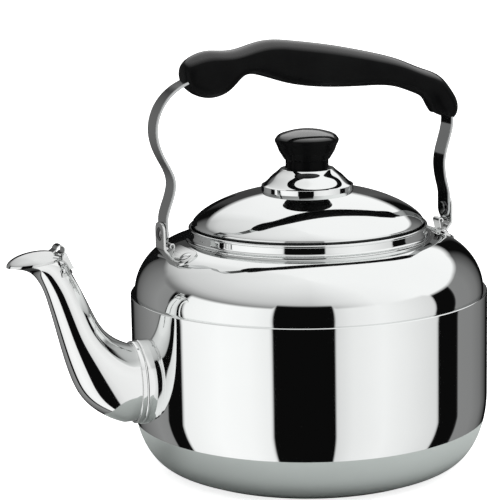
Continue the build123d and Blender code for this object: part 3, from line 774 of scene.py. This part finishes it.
def flap():
    def shell(inset, count, flip=False):
        rows = []
        for a in np.radians(np.linspace(0, 90, count)):
            c, s = max(cos(a), 0.004), sin(a)
            rows.append([flap_point((16.8 - inset) * c * cos(b), (12.1 - inset) * c * sin(b),
                                    (6.4 - inset) * s)
                         for b in 2 * pi * np.arange(96) / 96])
        return rows[::-1] if flip else rows

    dome = grid(shell(0, 36) + shell(0.7, 20, True), close_rows=True)
    half = 4.1
    foot = (-166.6, 146.6)
    centre, r = (-160.7, 148.6), 2.55
    first = arc(centre[0], centre[1], r, r, 175, -135, 44)
    path = line(foot, first[0], 8)[:-1] + first
    scroll = ribbon(path, half, 0.7, 0.2)
    web_line = line((HINGE[0] - 4.2, HINGE[1] + 0.4), (HINGE[0], HINGE[1] + 0.3), 6)
    web = ribbon(web_line, half, 1.2, 0.3)
    barrel = lathe([(0.8, -half), (1.5, -half), (1.5, half), (0.8, half)], 48)
    barrel = placed(barrel, frame_matrix((HINGE[0], 0, HINGE[1]), (0, 1, 0), (1, 0, 0)))
    obj = add_mesh("flap_dome", *merge(dome, scroll, web, barrel), sharp=40)
    return finish_piece(obj, FITTING, "flap", "fitting_steel", "whistle_flap")


# ---------------------------------------------------------------- plain CAD nodes

for make in (lower_shell, shoulder_dome, neck_ring, base_cap, spout, collar, lid_shell, lid_skirt,
             knob_cap, knob, lug_rivets, grip, flap):
    make()
for side in (-1, 1):
    lug(side)
    pivot_rivet(side)
strap(-1, FRONT_LINE)
strap(1, REAR_LINE)

for node, material in {
    "base_core": ALUMINIUM, "flap_saddle": FITTING, "saddle_rivets": RIVET, "flap_pin": RIVET,
    "grip_screws": SCREW, "knob_insert": BRASS, "knob_screw": SCREW, "knob_washer": SCREW,
    "whistle_plate": WHISTLE, "whistle_cup": WHISTLE,
}.items():
    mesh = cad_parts[node].data
    mesh.materials.clear()
    mesh.materials.append(material)
    mesh.polygons.foreach_set("use_smooth", [True] * len(mesh.polygons))
    mesh.set_sharp_from_angle(angle=radians(30))

# ---------------------------------------------------------------- camera

camera_data = bpy.data.cameras.new("camera")
camera = bpy.data.objects.new("camera", camera_data)
bpy.context.scene.collection.objects.link(camera)
bpy.context.scene.camera = camera
camera_data.sensor_width = 36.0
camera_data.lens = 148.72
camera_data.clip_start = 0.05
bearing, heading, pitch, roll = radians(24.78), radians(23.14), radians(11.065), radians(1.01)
reach, eye_height = 1.25, 0.378
camera.location = (-reach * sin(bearing), -reach * cos(bearing), eye_height)
forward = Vector((sin(heading) * cos(pitch), cos(heading) * cos(pitch), -sin(pitch)))
right = Vector((cos(heading), -sin(heading), 0))
up = right.cross(forward)
right, up = right * cos(roll) - up * sin(roll), right * sin(roll) + up * cos(roll)
camera.rotation_euler = Matrix((right, up, -forward)).transposed().to_euler()

# ---------------------------------------------------------------- studio


# Light levels around the kettle, by the angle in degrees from the direction towards the camera:
# white boxes left and right of a black flag in front, narrow flags at both sides, grey behind them.
WALLS = [
    (-180, 0.06), (-170, 0.05), (-166, 0.004), (-158, 0.004), (-152, 0.12), (-140, 0.2),
    (-118, 0.3), (-105.5, 0.28), (-104.5, 0.004), (-91, 0.004), (-89.5, 1.05), (-60, 1.16),
    (-40, 1.12), (-25.5, 1.02), (-24.5, 0.004), (14.5, 0.004), (15.5, 0.84), (26, 0.98),
    (46, 1.06), (62, 0.98), (87.0, 0.82), (88.0, 0.004), (106.8, 0.004), (107.8, 0.27),
    (125, 0.26), (140, 0.2), (152, 0.08), (157, 0.004), (166, 0.004), (170, 0.1), (180, 0.06),
]
# The elevation in tens of degrees at which those panels end, by the same angle
PANEL_TOPS = [
    (-180, 1.5), (-165, 2.0), (-150, 2.3), (-135, 2.4), (-120, 2.0), (-97, 1.8), (-94, 2.2),
    (-26, 2.4), (-24, 3.1), (14, 3.0), (16, 2.4), (82, 2.1), (87, 1.7), (107, 1.8), (125, 2.1),
    (150, 2.2), (180, 1.5),
]
# The overhead sheet: dim where it starts on the left and in front, full on the right and behind
SHEET_SHARE = [
    (-180, 1.0), (-160, 0.8), (-150, 0.35), (-125, 0.05), (-95, 0.0), (0, 0.0), (20, 0.4),
    (45, 0.9), (75, 1.0), (180, 1.0),
]
# How bright it is, by elevation
SHEET_RISE = [(20, 0.12), (25, 0.2), (30, 0.42), (35, 0.6), (40, 0.69), (60, 0.86), (90, 1.03)]


def studio_world():
    """White softboxes parted by black flags under a bright sheet; a white backdrop."""
    world = bpy.data.worlds.new("studio")
    bpy.context.scene.world = world
    tree = NodeTree(world)
    split = tree.nodes.new("ShaderNodeSeparateXYZ")
    tree.link(tree.nodes.new("ShaderNodeTexCoord").outputs["Generated"], split.inputs[0])
    x, y, z = split.outputs
    toward = tree.math("ADD", tree.math("MULTIPLY", x, -sin(heading)),
                       tree.math("MULTIPLY", y, -cos(heading)))
    aside = tree.math("ADD", tree.math("MULTIPLY", x, cos(heading)),
                      tree.math("MULTIPLY", y, -sin(heading)))
    angle = tree.math("MULTIPLY", tree.math("ARCTAN2", aside, toward), 180 / pi)
    elevation = tree.math("MULTIPLY", tree.math("ARCSINE", z), 180 / pi)

    tops = tree.math("MULTIPLY", tree.ramp(angle, PANEL_TOPS), 10.0)
    over_top = tree.math("SUBTRACT", elevation, tops)
    sheet = tree.mix(tree.ramp(angle, SHEET_SHARE), tree.ramp(elevation, SHEET_RISE), (1.1, 1.1, 1.1))
    around = tree.mix(tree.remap(over_top, 0.0, 4.0), tree.ramp(angle, WALLS), sheet)
    camera_ray = tree.nodes.new("ShaderNodeLightPath").outputs["Is Camera Ray"]
    light = tree.nodes.new("ShaderNodeBackground")
    tree.link(tree.mix(camera_ray, around, (1.0, 1.0, 1.0)), light.inputs[0])
    tree.link(light.outputs[0], tree.nodes.new("ShaderNodeOutputWorld").inputs[0])


studio_world()


def stage_disc(name, radius, height, colour, glow):
    """A flat round sheet under the kettle; its glow keeps it the white of the backdrop."""
    bpy.ops.mesh.primitive_circle_add(vertices=128, radius=radius, fill_type="NGON",
                                      location=(0, 0, height))
    obj = bpy.context.object
    obj.name = name
    s = Shader(name)
    tone = s.remap(s.noise(5.0), 0.3, 0.7)
    s.link(s.mix(tone, tuple(c * 0.985 for c in colour), colour), s.bsdf.inputs["Base Color"])
    s.set(Roughness=0.9, Emission_Color=(1, 1, 1, 1), Emission_Strength=glow)
    obj.data.materials.append(s.material)
    return obj


def only_reflected(obj):
    """Shows a stage piece in the polished steel and nowhere else."""
    obj.visible_camera = False
    obj.visible_diffuse = False
    obj.visible_shadow = False


# The floor fills the view, and only the grey sheet just above it shows in the polished steel.
floor = stage_disc("floor", 6.0, -0.0004, (0.93, 0.93, 0.93), 0.75)
floor.visible_glossy = False
only_reflected(stage_disc("table_top", 0.143, -0.0002, (0.425, 0.45, 0.438), 0.0))

# A black card behind on the left
bpy.ops.mesh.primitive_plane_add(size=1.0, location=(-0.022, 0.276, 0.07),
                                 rotation=(pi / 2, 0, heading))
card = bpy.context.object
card.name = "black_card"
card.scale = (0.17, 0.26, 1)
card.data.materials.append(GRIP_BLACK)
only_reflected(card)

key_data = bpy.data.lights.new("key", "AREA")
key_data.shape = "RECTANGLE"
key_data.size, key_data.size_y = 1.6, 1.6
key_data.energy = 30.0
key = bpy.data.objects.new("key", key_data)
bpy.context.scene.collection.objects.link(key)
key.location = (0.2, -0.4, 2.2)
key.rotation_euler = (Vector((0, 0, 0.1)) - key.location).to_track_quat("-Z", "Y").to_euler()
key.visible_glossy = False

bpy.context.scene.view_settings.view_transform = "Standard"
